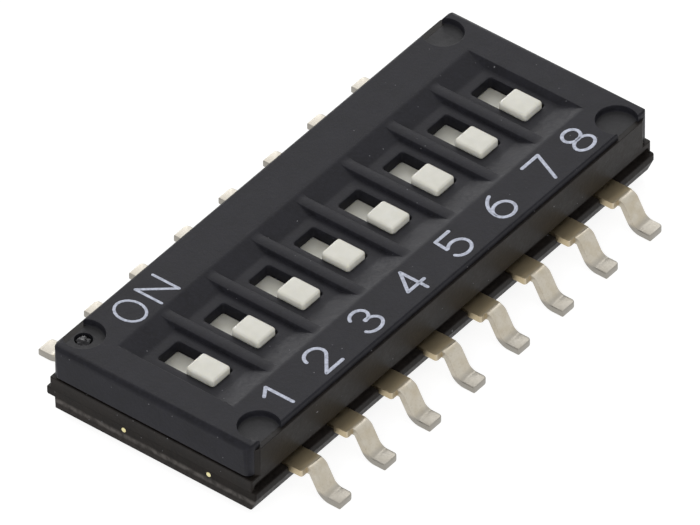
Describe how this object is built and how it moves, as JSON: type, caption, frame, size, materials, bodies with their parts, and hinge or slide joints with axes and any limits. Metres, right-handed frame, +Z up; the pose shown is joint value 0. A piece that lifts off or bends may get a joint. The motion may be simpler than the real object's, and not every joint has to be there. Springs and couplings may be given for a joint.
{
  "type": "dip switch",
  "caption": "Low surface-mount slide switch bank in a black moulded case, with white-numbered sliders in pockets and gull-wing terminals along both long sides.",
  "frame": {"origin": "centre of the footprint on the board that the feet stand on", "axes": "+X along the row from switch 1 to switch 8, +Y towards the ON side, +Z up out of the board"},
  "size_m": [0.0114, 0.0066, 0.0016],
  "materials": {
    "cover_plastic": "finely eroded moulded black plastic",
    "base_plastic": "moulded brown-black plastic",
    "slider_plastic": "satin ivory plastic",
    "contact_metal": "thin gold plate on spring bronze",
    "terminal_metal": "pale gold flash on stamped strip, dull on the cut edges",
    "tie_bar_metal": "bare sheared metal",
    "white_print": "flat white printing ink"
  },
  "bodies": {
    "housing": {"base": "base_plastic", "cover": "cover_plastic", "number_terminal_1": "terminal_metal", "number_terminal_2": "terminal_metal", "number_terminal_3": "terminal_metal", "number_terminal_4": "terminal_metal", "number_terminal_5": "terminal_metal", "number_terminal_6": "terminal_metal", "number_terminal_7": "terminal_metal", "number_terminal_8": "terminal_metal", "on_terminal_1": "terminal_metal", "on_terminal_2": "terminal_metal", "on_terminal_3": "terminal_metal", "on_terminal_4": "terminal_metal", "on_terminal_5": "terminal_metal", "on_terminal_6": "terminal_metal", "on_terminal_7": "terminal_metal", "on_terminal_8": "terminal_metal", "near_on_tie_bar": "tie_bar_metal", "near_number_tie_bar": "tie_bar_metal", "far_on_tie_bar": "tie_bar_metal", "far_number_tie_bar": "tie_bar_metal"},
    "switch_1": {"slider_1": "slider_plastic", "moving_contact_1": "contact_metal"},
    "switch_2": {"slider_2": "slider_plastic", "moving_contact_2": "contact_metal"},
    "switch_3": {"slider_3": "slider_plastic", "moving_contact_3": "contact_metal"},
    "switch_4": {"slider_4": "slider_plastic", "moving_contact_4": "contact_metal"},
    "switch_5": {"slider_5": "slider_plastic", "moving_contact_5": "contact_metal"},
    "switch_6": {"slider_6": "slider_plastic", "moving_contact_6": "contact_metal"},
    "switch_7": {"slider_7": "slider_plastic", "moving_contact_7": "contact_metal"},
    "switch_8": {"slider_8": "slider_plastic", "moving_contact_8": "contact_metal"}
  },
  "joints": [
    {"name": "switch_1_slide", "type": "slide", "parent": "housing", "child": "switch_1", "axis": [0, 1, 0], "range_m": [0, 0.0006]},
    {"name": "switch_2_slide", "type": "slide", "parent": "housing", "child": "switch_2", "axis": [0, 1, 0], "range_m": [0, 0.0006]},
    {"name": "switch_3_slide", "type": "slide", "parent": "housing", "child": "switch_3", "axis": [0, 1, 0], "range_m": [0, 0.0006]},
    {"name": "switch_4_slide", "type": "slide", "parent": "housing", "child": "switch_4", "axis": [0, 1, 0], "range_m": [0, 0.0006]},
    {"name": "switch_5_slide", "type": "slide", "parent": "housing", "child": "switch_5", "axis": [0, 1, 0], "range_m": [0, 0.0006]},
    {"name": "switch_6_slide", "type": "slide", "parent": "housing", "child": "switch_6", "axis": [0, 1, 0], "range_m": [0, 0.0006]},
    {"name": "switch_7_slide", "type": "slide", "parent": "housing", "child": "switch_7", "axis": [0, 1, 0], "range_m": [0, 0.0006]},
    {"name": "switch_8_slide", "type": "slide", "parent": "housing", "child": "switch_8", "axis": [0, 1, 0], "range_m": [0, 0.0006]}
  ]
}
